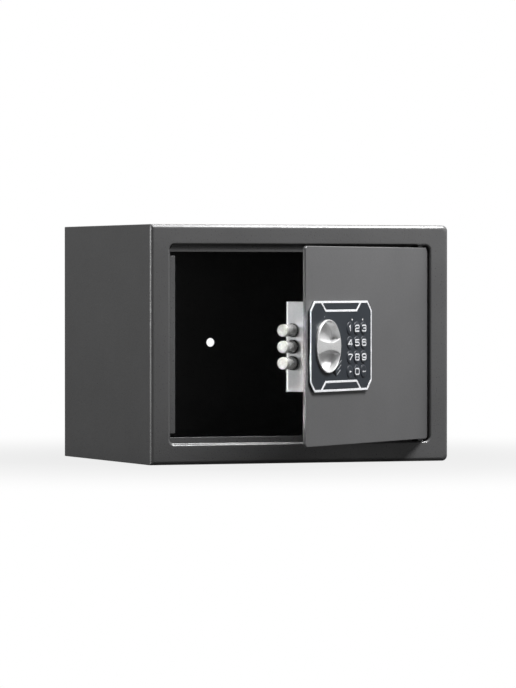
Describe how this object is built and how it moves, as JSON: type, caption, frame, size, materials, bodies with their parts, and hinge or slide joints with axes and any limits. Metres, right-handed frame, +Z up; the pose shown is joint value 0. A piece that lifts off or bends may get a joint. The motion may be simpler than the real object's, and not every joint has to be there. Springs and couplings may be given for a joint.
{
  "type": "furniture safe",
  "caption": "Small steel furniture safe with a hinged plate door standing open, keypad lock panel, recessed turn knob, sliding round bolts and a back anchor hole.",
  "frame": {"origin": "middle of the flat underside of the cabinet", "axes": "+X across the front to the hinge side, +Y from the front to the back, +Z up"},
  "size_m": [0.31, 0.4206, 0.23],
  "materials": {
    "cabinet_paint": "fine textured graphite powder coat",
    "door_paint": "fine textured graphite powder coat",
    "zinc_sheet": "zinc plated sheet",
    "plain_steel": "plated",
    "turned_steel": "turned and zinc plated",
    "satin_metal": "satin nickel",
    "panel_plastic": "moulded, satin",
    "key_plastic": "moulded, satin",
    "pale_line": "pale inlay",
    "lamp_plastic": "clear lens",
    "board": "solder mask",
    "dome_metal": "plated",
    "cover_plastic": "moulded, grained",
    "cell_jacket": "plain jacket",
    "lead_sleeve": "insulated lead"
  },
  "bodies": {
    "cabinet": {"body_shell": "cabinet_paint", "back_panel": "cabinet_paint", "hinge_bracket_upper": "zinc_sheet", "hinge_bracket_lower": "zinc_sheet"},
    "door": {"door_plate": "door_paint", "hinge_rod": "plain_steel", "lock_panel": "panel_plastic", "panel_line": "pale_line", "signal_lamps": "lamp_plastic", "circuit_board": "board", "contact_domes": "dome_metal", "panel_screws": "plain_steel", "emergency_lock_body": "plain_steel", "bolt_bracket": "zinc_sheet", "bracket_screws": "plain_steel", "guide_pins": "plain_steel", "solenoid_body": "zinc_sheet", "inner_cover": "cover_plastic", "cover_standoffs": "plain_steel", "cover_screws": "plain_steel", "battery_tray": "cover_plastic", "battery_contacts": "plain_steel", "batteries": "cell_jacket", "battery_lead": "lead_sleeve", "solenoid_lead": "lead_sleeve"},
    "knob": {"knob": "satin_metal", "knob_spindle": "plain_steel", "crank": "plain_steel"},
    "bolts": {"slide_plate": "zinc_sheet", "locking_bolts": "turned_steel"},
    "plunger": {"solenoid_plunger": "turned_steel"},
    "key_cover": {"key_cover": "panel_plastic"},
    "emergency_plug": {"emergency_plug": "dome_metal"},
    "battery_hatch": {"battery_hatch": "cover_plastic"},
    "key_1": {"key_1": "key_plastic"},
    "key_2": {"key_2": "key_plastic"},
    "key_3": {"key_3": "key_plastic"},
    "key_4": {"key_4": "key_plastic"},
    "key_5": {"key_5": "key_plastic"},
    "key_6": {"key_6": "key_plastic"},
    "key_7": {"key_7": "key_plastic"},
    "key_8": {"key_8": "key_plastic"},
    "key_9": {"key_9": "key_plastic"},
    "key_clear": {"key_clear": "key_plastic"},
    "key_0": {"key_0": "key_plastic"},
    "key_enter": {"key_enter": "key_plastic"}
  },
  "joints": [
    {"name": "door_hinge", "type": "hinge", "parent": "cabinet", "child": "door", "pos_m": [0.1278, -0.119, 0.115], "axis": [0, 0, 1], "range_deg": [-41.2, 58.8]},
    {"name": "knob_turn", "type": "hinge", "parent": "door", "child": "knob", "pos_m": [-0.03378, -0.26843, 0.1148], "axis": [-0.6587, 0.7524, 0], "range_deg": [0, 90]},
    {"name": "bolt_slide", "type": "slide", "parent": "door", "child": "bolts", "axis": [0.7524, 0.6587, 0], "range_m": [0, 0.02]},
    {"name": "plunger_slide", "type": "slide", "parent": "door", "child": "plunger", "axis": [0, 0, 1], "range_m": [0, 0.0032]},
    {"name": "key_cover_pull", "type": "slide", "parent": "door", "child": "key_cover", "axis": [0.6587, -0.7524, 0], "range_m": [0, 0.012]},
    {"name": "emergency_turn", "type": "hinge", "parent": "door", "child": "emergency_plug", "pos_m": [-0.01877, -0.242, 0.07755], "axis": [-0.6587, 0.7524, 0], "range_deg": [0, 90]},
    {"name": "battery_hatch_pull", "type": "slide", "parent": "door", "child": "battery_hatch", "axis": [-0.6587, 0.7524, 0], "range_m": [0, 0.012]},
    {"name": "key_1_press", "type": "slide", "parent": "door", "child": "key_1", "axis": [-0.6587, 0.7524, 0], "range_m": [0, 0.0008], "stiffness_N_per_m": 1500},
    {"name": "key_2_press", "type": "slide", "parent": "door", "child": "key_2", "axis": [-0.6587, 0.7524, 0], "range_m": [0, 0.0008], "stiffness_N_per_m": 1500},
    {"name": "key_3_press", "type": "slide", "parent": "door", "child": "key_3", "axis": [-0.6587, 0.7524, 0], "range_m": [0, 0.0008], "stiffness_N_per_m": 1500},
    {"name": "key_4_press", "type": "slide", "parent": "door", "child": "key_4", "axis": [-0.6587, 0.7524, 0], "range_m": [0, 0.0008], "stiffness_N_per_m": 1500},
    {"name": "key_5_press", "type": "slide", "parent": "door", "child": "key_5", "axis": [-0.6587, 0.7524, 0], "range_m": [0, 0.0008], "stiffness_N_per_m": 1500},
    {"name": "key_6_press", "type": "slide", "parent": "door", "child": "key_6", "axis": [-0.6587, 0.7524, 0], "range_m": [0, 0.0008], "stiffness_N_per_m": 1500},
    {"name": "key_7_press", "type": "slide", "parent": "door", "child": "key_7", "axis": [-0.6587, 0.7524, 0], "range_m": [0, 0.0008], "stiffness_N_per_m": 1500},
    {"name": "key_8_press", "type": "slide", "parent": "door", "child": "key_8", "axis": [-0.6587, 0.7524, 0], "range_m": [0, 0.0008], "stiffness_N_per_m": 1500},
    {"name": "key_9_press", "type": "slide", "parent": "door", "child": "key_9", "axis": [-0.6587, 0.7524, 0], "range_m": [0, 0.0008], "stiffness_N_per_m": 1500},
    {"name": "key_clear_press", "type": "slide", "parent": "door", "child": "key_clear", "axis": [-0.6587, 0.7524, 0], "range_m": [0, 0.0008], "stiffness_N_per_m": 1500},
    {"name": "key_0_press", "type": "slide", "parent": "door", "child": "key_0", "axis": [-0.6587, 0.7524, 0], "range_m": [0, 0.0008], "stiffness_N_per_m": 1500},
    {"name": "key_enter_press", "type": "slide", "parent": "door", "child": "key_enter", "axis": [-0.6587, 0.7524, 0], "range_m": [0, 0.0008], "stiffness_N_per_m": 1500}
  ],
  "couplings": [
    {"joint": "bolt_slide", "follows": "knob_turn", "m_per_rad": 0.01273}
  ]
}
